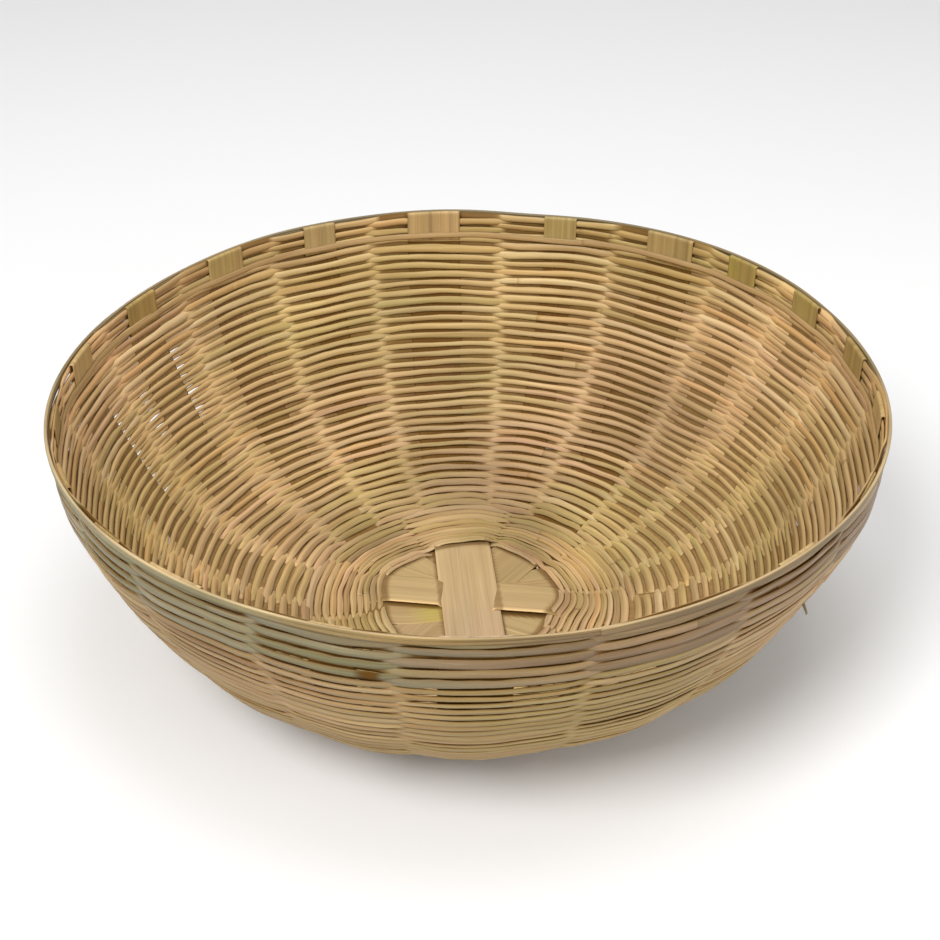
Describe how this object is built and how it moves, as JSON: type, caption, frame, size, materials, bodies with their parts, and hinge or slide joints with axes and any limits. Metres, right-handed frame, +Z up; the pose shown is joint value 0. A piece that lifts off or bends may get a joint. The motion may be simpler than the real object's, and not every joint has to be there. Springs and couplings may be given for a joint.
{
  "type": "winnowing basket",
  "caption": "Deep round winnowing basket of plain-woven split bamboo: flat radial slats crossed at the base, thin weavers up the bowl, slat ends folded in at a green-skinned rim.",
  "frame": {"origin": "centre of the base, on the plane the basket rests on", "axes": "+Z up, out of the bowl's mouth; +Y towards the far side of the rim; the bowl is round about Z"},
  "size_m": [0.3999, 0.4, 0.1408],
  "materials": {
    "weaver": "aged split bamboo, satin",
    "slat": "pale flat bamboo, matte with fine grain",
    "rim_splint": "weathered green bamboo skin, satin"
  },
  "bodies": {
    "root": {"hub_ring_weave": "weaver", "inner_floor_weave": "weaver", "outer_floor_weave": "weaver", "lower_bend_weave": "weaver", "upper_bend_weave": "weaver", "lower_wall_weave": "weaver", "middle_wall_weave": "weaver", "upper_wall_weave": "weaver", "under_rim_weave": "weaver", "rim_weave": "rim_splint", "base_slat_01": "slat", "base_slat_02": "slat", "base_slat_03": "slat", "base_slat_04": "slat", "base_slat_05": "slat", "base_slat_06": "slat", "base_slat_07": "slat", "base_slat_08": "slat", "base_slat_09": "slat", "base_slat_10": "slat", "rim_hoop": "rim_splint", "tab_lock_splint": "weaver"}
  },
  "joints": []
}
